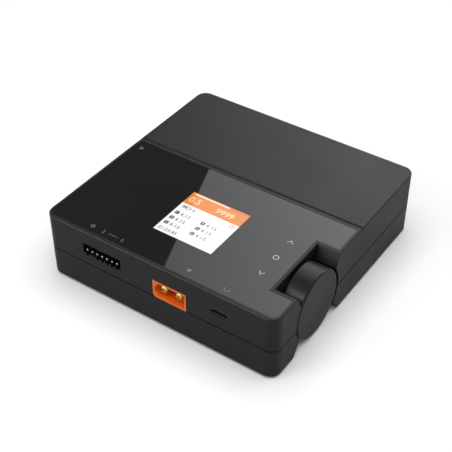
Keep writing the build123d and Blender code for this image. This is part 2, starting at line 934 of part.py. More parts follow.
def power_board():
    """The lower board: mains supply at the back, charging stages at the front."""
    gap = wall + board_wall_gap
    board = block(left + gap, right - gap, front + gap, back - gap, power_board_z, power_board_top)
    room = recess_bottom + recess_skin + 1.0
    board -= block(encoder_front - 0.5, right, front, drum_y + room, base, lid)
    half = fan_size / 2 + 1.0
    board -= block(fan_x - half, fan_x + half, fan_front - 1.0, back, base, lid)
    board -= corner_cuts()
    for x, y in power_board_screw_places:
        board -= post(x, y, base, lid, board_screw_hole)
    for x, y in tail_places():
        board -= post(x, y, base, lid, power_tail_radius + pilot_play)
    for side in (-1, 1):
        x = inlet_x + side * inlet_pin_pitch / 2
        board -= post(x, inlet_tail_y, base, lid, inlet_tail_radius + pilot_play)
    return board


def board_screws(places, seat, up):
    """Screws whose heads lie on a board at the seat's height; up is 1 where the shank points up."""
    screws = []
    shank = board_thickness + board_screw_bite - 0.3
    for x, y in places:
        z0, z1 = sorted((seat, seat - up * board_screw_head_height))
        s0, s1 = sorted((seat, seat + up * shank))
        screws.append(post(x, y, z0, z1, board_screw_head) + post(x, y, s0, s1, board_screw_radius))
    return group(screws)


def control_board():
    """The upper board, hung under the lid, notched for the sockets that pass it."""
    gap = wall + 1.0
    board = block(
        left + gap, control_board_right, front + gap, control_board_back, control_board_z, control_board_top
    )
    w = socket_width / 2 + 0.8
    board -= block(battery_socket_x - w, battery_socket_x + w, front, front + socket_length + 0.8, base, lid)
    board -= block(left, left + socket_length + 0.8, dc_socket_y - w, dc_socket_y + w, base, lid)
    w = balance_mouth_width / 2 + balance_body_wall + 0.3
    end = front + wall + balance_body_length + 0.3
    board -= block(balance_x - w, balance_x + w, front, end, base, lid)
    board -= corner_cuts()
    for x, y in control_board_screw_places:
        board -= post(x, y, base, lid, board_screw_hole)
    for way in range(balance_ways):
        half = balance_pin / 2 + pilot_play
        x = balance_pin_x(way)
        y = front + wall + balance_body_length + 1.0 + balance_pin / 2
        board -= block(x - half, x + half, y - half, y + half, base, lid)
    return board


def on_power(x, y, width, depth, height):
    """A block-shaped component standing on the power board."""
    return block(
        x - width / 2, x + width / 2, y - depth / 2, y + depth / 2, power_board_top, power_board_top + height
    )


def can(x, y):
    """An upright capacitor can with a rolled groove near its foot."""
    body = post(x, y, power_board_top, power_board_top + can_height, can_radius)
    body = fillet(body.edges().group_by(Axis.Z)[-1], 0.6)
    low = power_board_top + 1.2
    ring = post(x, y, low, low + 0.6, can_radius + 1) - post(x, y, low - 1, low + 2, can_radius - 0.35)
    return body - ring


def transformer_core():
    """A ferrite frame with two windows, standing on its edge."""
    x = transformer_x
    y = back - transformer_from_back
    core = on_power(x, y, core_width, core_depth, core_height)
    low = power_board_top + core_leg
    high = power_board_top + core_height - core_leg
    for side in (-1, 1):
        inner, outer = sorted((x + side * core_leg, x + side * (core_width / 2 - core_leg)))
        core -= block(inner, outer, y - core_depth, y + core_depth, low, high)
    return core


def transformer_winding():
    """The taped winding on the core's middle leg."""
    x = transformer_x
    y = back - transformer_from_back
    low = power_board_top + core_leg + winding_play
    high = power_board_top + core_height - core_leg - winding_play
    half = core_width / 2 - core_leg - winding_play
    reach = core_depth / 2 + winding_reach
    winding = block(x - half, x + half, y - reach, y + reach, low, high)
    winding = fillet(winding.edges().filter_by(Axis.Z), 3.0)
    hole = core_leg + winding_play
    inside = core_depth / 2 + winding_play
    return winding - block(x - hole, x + hole, y - inside, y + inside, low - 1, high + 1)


def bulk_capacitor():
    """The large mains capacitor, lying on the power board."""
    half = bulk_length / 2
    y = back - bulk_from_back
    z = power_board_top + bulk_radius
    body = rod_x(y, z, transformer_x - half, transformer_x + half, bulk_radius)
    return fillet(body.edges().filter_by(GeomType.CIRCLE), 0.8)


def filter_choke():
    """The two-winding ring choke of the mains filter, lying flat."""
    ring = Cylinder(choke_radius, choke_height) - Cylinder(choke_bore, choke_height + 1)
    place = Pos(inlet_x + 0.5, back - choke_from_back, power_board_top + choke_height / 2)
    return place * fillet(ring.edges().filter_by(GeomType.CIRCLE), 1.2)


def filter_capacitor():
    """The boxed film capacitor across the mains."""
    box = on_power(inlet_x + 13.0, back - film_from_back, film_width, film_depth, film_height)
    return fillet(box.edges().filter_by(Axis.Z), 0.6)


def fuse_holder():
    """The holder behind the inlet, with the fuse's trough along its top."""
    x = inlet_x - 2.5
    y = back - fuse_from_back
    holder = on_power(x, y, fuse_width, fuse_depth, fuse_height)
    return holder - rod_x(y, power_board_top + fuse_height, x - fuse_width, x + fuse_width, fuse_radius)


def rectifier():
    """The bridge rectifier, standing on edge, with one corner cut to mark its positive leg."""
    body = on_power(
        inlet_x + 19.5, back - rectifier_from_back, rectifier_width, rectifier_depth, rectifier_height
    )
    return chamfer(body.edges().filter_by(Axis.X)[0], 1.5)


def heat_sink():
    """A finned aluminium comb over the vents."""
    sink = on_power(sink_x, sink_y, sink_width, sink_depth, sink_foot)
    pitch = (sink_width - sink_fin) / (sink_fins - 1)
    for n in range(sink_fins):
        x = sink_x + (n - (sink_fins - 1) / 2) * pitch
        sink += on_power(x, sink_y, sink_fin, sink_depth, sink_height)
    return sink


def power_transistors():
    """Two switching transistors flat against the heat sink's side."""
    x = sink_x - (sink_width + transistor_thickness) / 2
    rows = [sink_y - transistor_spread / 2, sink_y + transistor_spread / 2]
    return group([on_power(x, y, transistor_thickness, transistor_width, transistor_height) for y in rows])


def inductors():
    """Two moulded inductors of the charging stage."""
    y = front + inductor_from_front
    columns = (-inductor_pitch / 2, inductor_pitch / 2)
    blocks = [on_power(x, y, inductor_size, inductor_size, inductor_height) for x in columns]
    return group([chamfer(b.edges().filter_by(Axis.Z), 1.2) for b in blocks])


def output_capacitors():
    """Four polymer capacitors beside the inductors."""
    half = can_pitch / 2
    y = front + can_from_front
    return group([can(can_x + sx * half, y + sy * half) for sx in (-1, 1) for sy in (-1, 1)])


def switching_transistors():
    """Flat switching transistors in a row before and a row behind the inductors."""
    return group([
        on_power((n - 1.5) * mosfet_pitch, front + row, mosfet_width, mosfet_depth, mosfet_height)
        for n in range(4)
        for row in mosfet_rows
    ])


def balance_resistors():
    """The bank of resistors that bleeds the cells, behind the balance header."""
    return group([
        on_power(
            balance_x - 3.0 + (n - (bleed_count - 1) / 2) * bleed_pitch,
            front + bleed_from_front,
            bleed_width,
            bleed_depth,
            bleed_height,
        )
        for n in range(bleed_count)
    ])


def board_link():
    """The pin strip that joins the two boards."""
    y = control_board_back - 1.5
    return block(-link_length / 2, link_length / 2, y - link_width, y, power_board_top, control_board_z)


def controller_chip():
    """The main controller on the control board."""
    y = front + chip_from_front
    half = chip_size / 2
    top = control_board_top + chip_height
    return block(chip_x - half, chip_x + half, y - half, y + half, control_board_top, top)


def buzzer():
    """The round buzzer on the control board, with its sound hole."""
    x = control_board_right - 2 * buzzer_radius
    y = front + buzzer_from_front
    top = control_board_top + buzzer_height
    return post(x, y, control_board_top, top, buzzer_radius) - post(x, y, top - 1, top + 1, 1.0)


def display_connector():
    """The flat-cable socket for the screen."""
    half = connector_width / 2
    top = control_board_top + connector_height
    return block(
        screen_from_centre - half,
        screen_from_centre + half,
        ribbon_y - connector_depth / 2,
        ribbon_y + connector_depth / 2,
        control_board_top,
        top,
    )


def display_ribbon():
    """The screen's flat cable, folded down to its socket."""
    x0 = screen_from_centre - ribbon_width / 2
    x1 = screen_from_centre + ribbon_width / 2
    under = panel_under - module_thickness
    top = control_board_top + connector_height
    y0 = ribbon_y - 1.5
    strip = block(x0, x1, y0, ribbon_y + 6.0, under - ribbon_thickness, under)
    strip += block(x0, x1, y0, y0 + ribbon_thickness, top, under)
    return strip + block(x0, x1, y0, ribbon_y + 1.5, top, top + ribbon_thickness)


def insulation_sheet():
    """A polyester sheet on the floor, under the mains half of the power board."""
    side_gap = 16.0
    return block(
        left + side_gap,
        vent_x - (vent_count * vent_pitch) / 2 - 3.0,
        dc_socket_y - 9.0,
        back - 25.0,
        floor_top,
        floor_top + sheet_thickness,
    )


def nodes():
    """Every sub-part by the name of its node."""
    places = socket_places()
    body = socket_body()
    pins = socket_pins()
    return {
        "lower_shell": lower_shell(),
        "upper_shell": upper_shell(),
        "panel_glass": panel_glass(),
        "display_module": display_module(),
        "display_ribbon": display_ribbon(),
        "display_connector": display_connector(),
        "feet": feet(),
        "case_screws": case_screws(),
        "control_drum": control_drum(),
        "drum_hub": drum_hub(),
        "drum_shaft": drum_shaft(),
        "push_plunger": push_plunger(),
        "switch_dome": switch_dome(),
        "encoder_body": encoder_body(),
        "encoder_bush": encoder_bush(),
        "encoder_nut": encoder_nut(),
        "encoder_board": encoder_board(),
        "battery_socket_body": places["battery"] * body,
        "battery_socket_pins": group([places["battery"] * pin for pin in pins]),
        "dc_socket_body": places["dc"] * body,
        "dc_socket_pins": group([places["dc"] * pin for pin in pins]),
        "balance_header_body": balance_header_body(),
        "balance_header_pins": balance_header_pins(),
        "usb_shell": usb_shell(),
        "usb_tongue": usb_tongue(),
        "mains_inlet_body": mains_inlet_body(),
        "mains_inlet_pins": mains_inlet_pins(),
        "fan_frame": fan_frame(),
        "fan_rotor": fan_rotor(),
        "power_board": power_board(),
        "power_board_screws": board_screws(power_board_screw_places, power_board_top, -1),
        "control_board": control_board(),
        "control_board_screws": board_screws(control_board_screw_places, control_board_z, 1),
        "transformer_core": transformer_core(),
        "transformer_winding": transformer_winding(),
        "bulk_capacitor": bulk_capacitor(),
        "filter_choke": filter_choke(),
        "filter_capacitor": filter_capacitor(),
        "fuse_holder": fuse_holder(),
        "rectifier": rectifier(),
        "heat_sink": heat_sink(),
        "power_transistors": power_transistors(),
        "inductors": inductors(),
        "output_capacitors": output_capacitors(),
        "switching_transistors": switching_transistors(),
        "balance_resistors": balance_resistors(),
        "board_link": board_link(),
        "controller_chip": controller_chip(),
        "buzzer": buzzer(),
        "insulation_sheet": insulation_sheet(),
    }


for name, shape in nodes().items():
    export_step(shape, f"parts/{name}.step")
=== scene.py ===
import math

import bmesh
import bpy
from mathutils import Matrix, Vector


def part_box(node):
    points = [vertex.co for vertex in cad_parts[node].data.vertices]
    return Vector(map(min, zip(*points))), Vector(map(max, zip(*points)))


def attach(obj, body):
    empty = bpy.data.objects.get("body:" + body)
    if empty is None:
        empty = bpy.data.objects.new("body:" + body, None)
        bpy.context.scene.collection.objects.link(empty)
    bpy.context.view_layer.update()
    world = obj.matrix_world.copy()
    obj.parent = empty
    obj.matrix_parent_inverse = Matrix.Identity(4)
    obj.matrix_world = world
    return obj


MM = 0.001
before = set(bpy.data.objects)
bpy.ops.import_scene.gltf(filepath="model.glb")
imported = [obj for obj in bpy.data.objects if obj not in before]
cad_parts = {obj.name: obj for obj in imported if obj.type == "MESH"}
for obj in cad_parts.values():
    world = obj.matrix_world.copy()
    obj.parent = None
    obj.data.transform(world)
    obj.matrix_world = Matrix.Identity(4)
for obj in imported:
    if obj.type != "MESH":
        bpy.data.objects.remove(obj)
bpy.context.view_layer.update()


# ---------------------------------------------------------------- camera
# A product shot from the front right, looking down on the lid. The long lens stands 0.44 m away, so the sides
# of the case draw together only a little.
eye = Vector((183.3, -274.0, 289.2)) * MM
look_azimuth = math.radians(34.41)
look_elevation = math.radians(40.04)
backwards = Vector((
    math.sin(look_azimuth) * math.cos(look_elevation),
    -math.cos(look_azimuth) * math.cos(look_elevation),
    math.sin(look_elevation),
))
lens = bpy.data.cameras.new("camera")
lens.lens = 81.05
lens.sensor_width = 36.0
lens.clip_start = 0.01
camera = bpy.data.objects.new("camera", lens)
camera.location = eye
camera.rotation_euler = backwards.to_track_quat("Z", "Y").to_euler()
bpy.context.scene.collection.objects.link(camera)
bpy.context.scene.camera = camera
bpy.context.scene.view_settings.view_transform = "Standard"


# ---------------------------------------------------------------- studio
# A pale table that fades to an even white, a white surround, and a dim ceiling that only sheens show. One large
# lamp hangs above and a weak one stands at the front left. Three panels, behind left, along the horizon and at
# the front left, show in sheens and give no light of their own.
def add(tree, kind, inputs=None, **settings):
    """A node with its settings, whose inputs are plain values or other nodes' outputs."""
    made = tree.nodes.new(kind)
    for key, value in settings.items():
        setattr(made, key, value)
    for key, value in (inputs or {}).items():
        if isinstance(value, bpy.types.NodeSocket):
            tree.links.new(value, made.inputs[key])
        else:
            made.inputs[key].default_value = value
    return made


def maths(tree, operation, a, b=0.0, clamp=False):
    """The result of one sum, as an output."""
    return add(tree, "ShaderNodeMath", {0: a, 1: b}, operation=operation, use_clamp=clamp).outputs[0]


def blend(tree, factor, a, b):
    """Two values mixed, as an output."""
    return add(tree, "ShaderNodeMix", {"Factor": factor, 2: a, 3: b}, data_type="FLOAT").outputs[0]


def empty_tree(owner):
    """An owner's node tree with nothing in it."""
    owner.use_nodes = True
    owner.node_tree.nodes.clear()
    return owner.node_tree


def seen_directly(tree):
    """1 for rays from the camera, from a mirror or through glass, and 0 for light on the object."""
    path = add(tree, "ShaderNodeLightPath").outputs
    mirrored = maths(tree, "MAXIMUM", path["Is Glossy Ray"], path["Is Transmission Ray"])
    return maths(tree, "MAXIMUM", path["Is Camera Ray"], mirrored), path


wall_white = 1.0
wall_light = 0.40
ceiling_light = 0.15
ceiling_starts = 0.38
ceiling_full = 0.62
ceiling_slope = (-0.25, 0.42, 1.0)
world = bpy.data.worlds.new("studio")
bpy.context.scene.world = world
tree = empty_tree(world)
direction = add(tree, "ShaderNodeTexCoord").outputs["Generated"]
height = add(tree, "ShaderNodeVectorMath", {
    0: direction, 1: ceiling_slope,
}, operation="DOT_PRODUCT").outputs["Value"]
up = add(tree, "ShaderNodeMapRange", {
    "Value": height, "From Min": ceiling_starts, "From Max": ceiling_full,
}, interpolation_type="SMOOTHSTEP").outputs[0]
direct, path = seen_directly(tree)
wall_level = blend(tree, direct, wall_light, wall_white)
room = blend(tree, up, wall_level, ceiling_light)
level = blend(tree, path["Is Camera Ray"], room, wall_white)
shown = add(tree, "ShaderNodeBackground", {"Color": (1, 1, 1, 1), "Strength": level})
add(tree, "ShaderNodeOutputWorld", {"Surface": shown.outputs[0]})

table_reach = 6.0
table_white = 0.985
table_grey = 0.60
table_fades = 0.22
table_faded = 0.60
mesh = bpy.data.meshes.new("table")
corners = [
    (-table_reach, -table_reach, 0), (table_reach, -table_reach, 0),
    (table_reach, table_reach, 0), (-table_reach, table_reach, 0),
]
mesh.from_pydata(corners, [], [(0, 1, 2, 3)])
table = bpy.data.objects.new("table", mesh)
bpy.context.scene.collection.objects.link(table)
finish = bpy.data.materials.new("table")
tree = empty_tree(finish)
direct, path = seen_directly(tree)
place = add(tree, "ShaderNodeTexCoord").outputs["Object"]
reach = add(tree, "ShaderNodeVectorMath", {0: place}, operation="LENGTH").outputs["Value"]
far = add(tree, "ShaderNodeMapRange", {
    "Value": reach, "From Min": table_fades, "From Max": table_faded,
}, interpolation_type="SMOOTHSTEP").outputs[0]
faded = maths(tree, "MULTIPLY", direct, far)
seen = blend(tree, path["Is Camera Ray"], table_grey, table_white)
tone = maths(tree, "MULTIPLY", seen, maths(tree, "SUBTRACT", 1.0, faded))
paint = add(tree, "ShaderNodeBsdfDiffuse", {"Color": tone})
glow = add(tree, "ShaderNodeEmission", {"Color": (1, 1, 1, 1), "Strength": faded})
both = add(tree, "ShaderNodeAddShader", {0: paint.outputs[0], 1: glow.outputs[0]})
add(tree, "ShaderNodeOutputMaterial", {"Surface": both.outputs[0]})
mesh.materials.append(finish)


def soft_box(name, corners, level, per_x=0.0, per_y=0.0, least=0.1):
    """A panel that only sheens show; level is its strength over the origin, and it rises along X and Y."""
    mesh = bpy.data.meshes.new(name)
    mesh.from_pydata(corners, [], [(0, 1, 2, 3)])
    panel = bpy.data.objects.new(name, mesh)
    bpy.context.scene.collection.objects.link(panel)
    glow = bpy.data.materials.new(name)
    tree = empty_tree(glow)
    place = add(tree, "ShaderNodeTexCoord").outputs["Object"]
    parts = add(tree, "ShaderNodeSeparateXYZ", {"Vector": place}).outputs
    along_x = maths(tree, "MULTIPLY", parts["X"], per_x)
    along_y = maths(tree, "MULTIPLY", parts["Y"], per_y)
    rise = maths(tree, "ADD", along_x, along_y)
    strength = maths(tree, "MAXIMUM", maths(tree, "ADD", rise, level), least)
    shine = add(tree, "ShaderNodeEmission", {"Color": (1, 1, 1, 1), "Strength": strength})
    add(tree, "ShaderNodeOutputMaterial", {"Surface": shine.outputs[0]})
    mesh.materials.append(glow)
    panel.visible_camera = False
    panel.visible_diffuse = False
    panel.visible_shadow = False
    return panel


soft_box_height = 1.03
soft_box("soft_box_back", [
    (-1.0826, 1.90, soft_box_height), (-0.5219, 0.33, soft_box_height),
    (0.15, 0.33, soft_box_height), (0.15, 1.90, soft_box_height),
], level=2.9, per_x=3.9, per_y=1.85)
soft_box("soft_box_horizon", [
    (-1.3, 1.95, 0.35), (2.2, 1.95, 0.35), (2.2, 1.95, 1.0), (-1.3, 1.95, 1.0),
], level=2.2)
soft_box("soft_box_front", [
    (-1.15, -1.1, 0.3), (-0.2, -1.6, 0.3), (-0.45, -1.2, 1.5), (-1.15, -0.75, 1.5),
], level=10.5)


def lamp(name, place, width, depth, watts):
    """A soft rectangular lamp that points at the foot of the charger and shows in no sheen."""
    light = bpy.data.lights.new(name, "AREA")
    light.shape = "RECTANGLE"
    light.size = width
    light.size_y = depth
    light.energy = watts
    made = bpy.data.objects.new(name, light)
    made.location = place
    made.rotation_euler = Vector(place).to_track_quat("Z", "Y").to_euler()
    made.visible_glossy = False
    bpy.context.scene.collection.objects.link(made)


lamp("lamp_above", (0.11, 0, 1.6), width=1.9, depth=1.9, watts=29.0)
lamp("lamp_front_left", (-0.8, -1.2, 1.15), width=0.8, depth=0.6, watts=3.6)


# ---------------------------------------------------------------- case
# Two ABS shells, a tray and a lid, moulded with a spark-eroded matt texture and screwed together from below. They
# meet in a shadow groove, and another crosses the lid. Painted shade darkens the grooves, and the outer corners
# have rubbed a little paler in use.
def effect(name, takes, gives):
    """A shader node group with named sockets. takes holds each input's first value."""
    tree = bpy.data.node_groups.new(name, "ShaderNodeTree")
    for label, value in takes.items():
        kind = "NodeSocketColor" if isinstance(value, tuple) else "NodeSocketFloat"
        socket = tree.interface.new_socket(label, in_out="INPUT", socket_type=kind)
        socket.default_value = value
    for label, kind in gives.items():
        tree.interface.new_socket(label, in_out="OUTPUT", socket_type=kind)
    return tree, tree.nodes.new("NodeGroupInput").outputs, tree.nodes.new("NodeGroupOutput").inputs


def noise(tree, size, detail=3.0, stretch=(1, 1, 1), rough=0.55):
    """Even noise whose blobs are about size millimetres across."""
    place = add(tree, "ShaderNodeTexCoord").outputs["Object"]
    scaled = add(tree, "ShaderNodeVectorMath", {0: place, 1: stretch}, operation="MULTIPLY").outputs[0]
    scale = maths(tree, "DIVIDE", 1 / MM, size)
    return add(tree, "ShaderNodeTexNoise", {
        "Vector": scaled, "Scale": scale, "Detail": detail, "Roughness": rough,
    }).outputs["Fac"]


def mix(tree, factor, a, b):
    """Two colours mixed, as an output."""
    return add(tree, "ShaderNodeMix", {"Factor": factor, 6: a, 7: b}, data_type="RGBA").outputs[2]


def spread(tree, value, low, high, to_low=0.0, to_high=1.0):
    """A value stretched from one range to another and held inside it."""
    return add(tree, "ShaderNodeMapRange", {
        "Value": value, "From Min": low, "From Max": high, "To Min": to_low, "To Max": to_high,
    }).outputs[0]


def make_moulded_skin():
    """Spark-eroded plastic: fine even pits, a slow drift of tone and of gloss."""
    tree, take, give = effect(
        "moulded skin",
        {
            "Colour": (0.5, 0.5, 0.5, 1), "Pale": (0.6, 0.6, 0.6, 1),
            "Grain": 0.25, "Drift": 0.25, "Gloss": 0.5, "Gloss Drift": 0.08,
        },
        {"Colour": "NodeSocketColor", "Roughness": "NodeSocketFloat", "Height": "NodeSocketFloat"},
    )
    pits = noise(tree, take["Grain"], 2.0)
    slow = spread(tree, noise(tree, 24.0, 3.0), 0.35, 0.65)
    tone = maths(tree, "MULTIPLY", slow, take["Drift"])
    tree.links.new(mix(tree, tone, take["Colour"], take["Pale"]), give["Colour"])
    shift = maths(tree, "MULTIPLY", maths(tree, "SUBTRACT", slow, 0.5), take["Gloss Drift"])
    tree.links.new(maths(tree, "ADD", take["Gloss"], shift), give["Roughness"])
    tree.links.new(pits, give["Height"])
    return tree


def make_edge_wear():
    """A mask of the outer edges, broken up by noise, where handling has rubbed the finish."""
    tree, take, give = effect(
        "edge wear", {"Width": 0.3, "Strength": 1.0, "Patch": 3.0}, {"Mask": "NodeSocketFloat"}
    )
    width = maths(tree, "MULTIPLY", take["Width"], MM)
    soft = add(tree, "ShaderNodeBevel", {"Radius": width}, samples=4).outputs[0]
    hard = add(tree, "ShaderNodeNewGeometry").outputs["Normal"]
    same = add(tree, "ShaderNodeVectorMath", {0: soft, 1: hard}, operation="DOT_PRODUCT").outputs["Value"]
    edge = spread(tree, maths(tree, "SUBTRACT", 1.0, same), 0.01, 0.16)
    patch = spread(tree, noise(tree, take["Patch"], 4.0), 0.38, 0.66)
    worn = maths(tree, "MULTIPLY", edge, patch)
    tree.links.new(maths(tree, "MULTIPLY", worn, take["Strength"], clamp=True), give["Mask"])
    return tree


def make_crease_shade_mask():
    """A mask of narrow grooves and the foot of steps, from ambient occlusion, for painted shade where light
    doesn't reach.
    """
    tree, take, give = effect("crease_shade_mask", {"Reach": 1.4, "Strength": 1.0}, {"Mask": "NodeSocketFloat"})
    reach = maths(tree, "MULTIPLY", take["Reach"], MM)
    around = add(tree, "ShaderNodeAmbientOcclusion", {"Distance": reach}, samples=6, only_local=True).outputs
    deep = spread(tree, around["AO"], 0.55, 0.93, 1.0, 0.0)
    tree.links.new(maths(tree, "MULTIPLY", deep, take["Strength"], clamp=True), give["Mask"])
    return tree


moulded_skin = make_moulded_skin()
edge_wear = make_edge_wear()
crease_shade_mask = make_crease_shade_mask()


def place_effect(tree, group, inputs):
    """One use of a node group, as its outputs."""
    return add(tree, "ShaderNodeGroup", inputs, node_tree=group).outputs


def shader(name, specular=0.5, metallic=0.0, coat=0.0, coat_rough=0.03):
    """A material with one Principled shader; sheens that are even all over are set on it directly."""
    made = bpy.data.materials.new(name)
    tree = empty_tree(made)
    surface = add(tree, "ShaderNodeBsdfPrincipled")
    surface.inputs["Specular IOR Level"].default_value = specular
    surface.inputs["Metallic"].default_value = metallic
    surface.inputs["Coat Weight"].default_value = coat
    surface.inputs["Coat Roughness"].default_value = coat_rough
    add(tree, "ShaderNodeOutputMaterial", {"Surface": surface.outputs[0]})
    return made, tree, surface.inputs


def bump(tree, height, depth, into):
    """Relief of a depth in millimetres, fed to a shader's Normal."""
    relief = add(tree, "ShaderNodeBump", {"Height": height, "Distance": depth * MM, "Strength": 1.0})
    tree.links.new(relief.outputs[0], into["Normal"])


def grey(value):
    """A neutral colour."""
    return (value, value, value, 1)


# Near-black painted shade for grooves and the foot of steps.
painted_shade_black = grey(0.001)


def plastic(name, colour, pale, gloss, grain=0.25, depth=0.006, specular=0.4, wear=0.0, drift=0.25):
    """Moulded plastic. Where wear is above nothing, its edges are rubbed paler and painted shade darkens its
    grooves.
    """
    made, tree, into = shader(name, specular)
    skin = place_effect(tree, moulded_skin, {
        "Colour": colour, "Pale": pale, "Grain": grain, "Drift": drift, "Gloss": gloss,
    })
    shade = skin["Colour"]
    rough = skin["Roughness"]
    if wear:
        rubbed = place_effect(tree, edge_wear, {"Strength": wear})["Mask"]
        # Painted shade: the ambient-occlusion mask darkens grooves and the foot of steps towards near-black.
        painted_crease_shade = place_effect(tree, crease_shade_mask, {})["Mask"]
        shade = mix(tree, painted_crease_shade, mix(tree, rubbed, shade, pale), painted_shade_black)
        rough = blend(tree, painted_crease_shade, rough, 1.0)
    tree.links.new(shade, into["Base Color"])
    tree.links.new(rough, into["Roughness"])
    bump(tree, skin["Height"], depth, into)
    return made


smooth_up_to = math.radians(28)


def dress(names, made):
    """The material put on CAD pieces, with their facets smoothed where the surface is round."""
    for name in names:
        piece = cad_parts[name]
        piece.data.materials.clear()
        piece.data.materials.append(made)
        for face in piece.data.polygons:
            face.use_smooth = True
        piece.data.set_sharp_from_angle(angle=smooth_up_to)


case_black = (0.0125, 0.0125, 0.0128, 1)
case_rubbed = (0.022, 0.022, 0.0225, 1)
case_plastic = plastic(
    "case plastic", case_black, case_rubbed, gloss=0.41,
    grain=0.22, depth=0.004, specular=0.193, wear=0.6, drift=0.12,
)
dress(["upper_shell", "lower_shell"], case_plastic)


# ---------------------------------------------------------------- glass panel
# A sheet of toughened glass, printed black on its back and bonded into the lid. It is clean, with only a faint
# bloom left by a cloth.
def make_wiped_glass():
    """The faint arcs that a cloth leaves on glass, as a change of gloss."""
    tree, take, give = effect("wiped glass", {"Clean": 0.02, "Bloom": 0.05}, {"Roughness": "NodeSocketFloat"})
    arcs = noise(tree, 16.0, 5.0, stretch=(0.35, 1.0, 1.0))
    film = spread(tree, arcs, 0.45, 0.75)
    amount = maths(tree, "MULTIPLY", film, take["Bloom"])
    tree.links.new(maths(tree, "ADD", take["Clean"], amount), give["Roughness"])
    return tree


wiped_glass = make_wiped_glass()
glass_black = (0.0075, 0.0075, 0.0078, 1)
glass_thin = (0.0095, 0.0095, 0.0098, 1)
panel_glass, tree, into = shader("panel glass", specular=0.41)
tint = spread(tree, noise(tree, 40.0, 2.0), 0.3, 0.7)
tree.links.new(mix(tree, tint, glass_black, glass_thin), into["Base Color"])
wiped = place_effect(tree, wiped_glass, {"Clean": 0.015, "Bloom": 0.02})
tree.links.new(wiped["Roughness"], into["Roughness"])
dress(["panel_glass"], panel_glass)


# ---------------------------------------------------------------- marks on the glass
# Pale ink under the glass: an up, a ring and a down mark beside the drum, and a small mark for each socket.
# Each is a film 0.015 mm thick.
def solid(name, outlines, low, high):
    """A closed solid with the given outlines as its plan, each a list of (x, y) points in order."""
    shape = bmesh.new()
    for outline in outlines:
        bottom = [shape.verts.new((x, y, low)) for x, y in outline]
        top = [shape.verts.new((x, y, high)) for x, y in outline]
        shape.faces.new(bottom[::-1])
        shape.faces.new(top)
        for n in range(len(outline)):
            m = (n + 1) % len(outline)
            shape.faces.new((bottom[n], bottom[m], top[m], top[n]))
    bmesh.ops.recalc_face_normals(shape, faces=shape.faces)
    mesh = bpy.data.meshes.new(name)
    shape.to_mesh(mesh)
    shape.free()
    return mesh


def ring_mesh(name, x, y, outer, inner, low, high, start=0.0, turn=360.0, steps=48):
    """A flat ring, or part of one, as a closed solid."""
    shape = bmesh.new()
    whole = turn >= 360.0
    count = steps if whole else steps + 1
    rows = []
    for n in range(count):
        a = math.radians(start + turn * n / steps)
        c, s = math.cos(a), math.sin(a)
        rows.append([
            shape.verts.new((x + r * c, y + r * s, z))
            for r, z in ((inner, low), (outer, low), (outer, high), (inner, high))
        ])
    for n in range(steps):
        a, b = rows[n], rows[(n + 1) % count]
        for k in range(4):
            m = (k + 1) % 4
            shape.faces.new((a[k], a[m], b[m], b[k]))
    if not whole:
        shape.faces.new(rows[0][::-1])
        shape.faces.new(rows[-1])
    bmesh.ops.recalc_face_normals(shape, faces=shape.faces)
    mesh = bpy.data.meshes.new(name)
    shape.to_mesh(mesh)
    shape.free()
    return mesh


def joined(name, meshes, made, body="case"):
    """Several meshes as one piece, with its material and the body it rides on."""
    shape = bmesh.new()
    for mesh in meshes:
        shape.from_mesh(mesh)
    whole = bpy.data.meshes.new(name)
    shape.to_mesh(whole)
    shape.free()
    whole.materials.append(made)
    piece = bpy.data.objects.new(name, whole)
    bpy.context.scene.collection.objects.link(piece)
    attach(piece, body)
    return piece


def stroke(points, width):
    """The outline of a bent line of even width, mitred at its corners."""
    half = width / 2
    lefts, rights = [], []
    for n, point in enumerate(points):
        p = Vector(point)
        before = (p - Vector(points[n - 1])).normalized() if n else None
        after = (Vector(points[n + 1]) - p).normalized() if n + 1 < len(points) else None
        first, second = before or after, after or before
        mean = (first + second).normalized()
        side = Vector((-mean.y, mean.x))
        reach = half / max(0.3, side.dot(Vector((-first.y, first.x))))
        lefts.append(tuple(p + side * reach))
        rights.append(tuple(p - side * reach))
    return lefts + rights[::-1]


def printed(name, tone, gloss=0.03):
    """Ink seen through glass: an even tone with a fine screen-print grain."""
    made, tree, into = shader(name, specular=0.5)
    dots = spread(tree, noise(tree, 0.08, 1.0), 0.3, 0.7)
    thin = tuple(0.82 * c for c in tone[:3]) + (1,)
    tree.links.new(mix(tree, dots, thin, tone), into["Base Color"])
    into["Roughness"].default_value = gloss
    return made


left_edge, front_edge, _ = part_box("upper_shell")[0]
glass_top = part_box("panel_glass")[1].z
ink_low = glass_top + 0.005 * MM
ink_high = glass_top + 0.02 * MM
ink_bright = printed("bright ink", (0.60, 0.60, 0.60, 1))
ink_dim = printed("dim ink", (0.16, 0.16, 0.16, 1))


def from_corner(x, y):
    """A place on the lid, in millimetres from its front left corner."""
    return left_edge + x * MM, front_edge + y * MM


def chevron(x, y, half_width, drop, width):
    """An up mark where drop is above nothing, and a down mark where it is below."""
    cx, cy = from_corner(x, y)
    points = [
        (cx - half_width * MM, cy - drop * MM / 2),
        (cx, cy + drop * MM / 2),
        (cx + half_width * MM, cy - drop * MM / 2),
    ]
    return stroke(points, width * MM)


drum_low, drum_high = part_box("control_drum")
drum_y = (drum_low.y + drum_high.y) / 2
keys_x = 90.85
keys_y = (drum_y - front_edge) / MM
key_pitch = 10.45
mark_half = 1.1
mark_width = 0.26
up_drop = 1.6
down_drop = -1.7
up_line = chevron(keys_x, keys_y + key_pitch - 0.1, mark_half, up_drop, mark_width)
down_line = chevron(keys_x, keys_y - key_pitch - 0.4, mark_half, down_drop, mark_width)
ring_x, ring_y = from_corner(keys_x, keys_y - 0.4)
joined("key_marks", [
    solid("up_mark", [up_line], ink_low, ink_high),
    solid("down_mark", [down_line], ink_low, ink_high),
    ring_mesh("ring_mark", ring_x, ring_y, 1.25 * MM, 0.96 * MM, ink_low, ink_high),
], ink_bright)


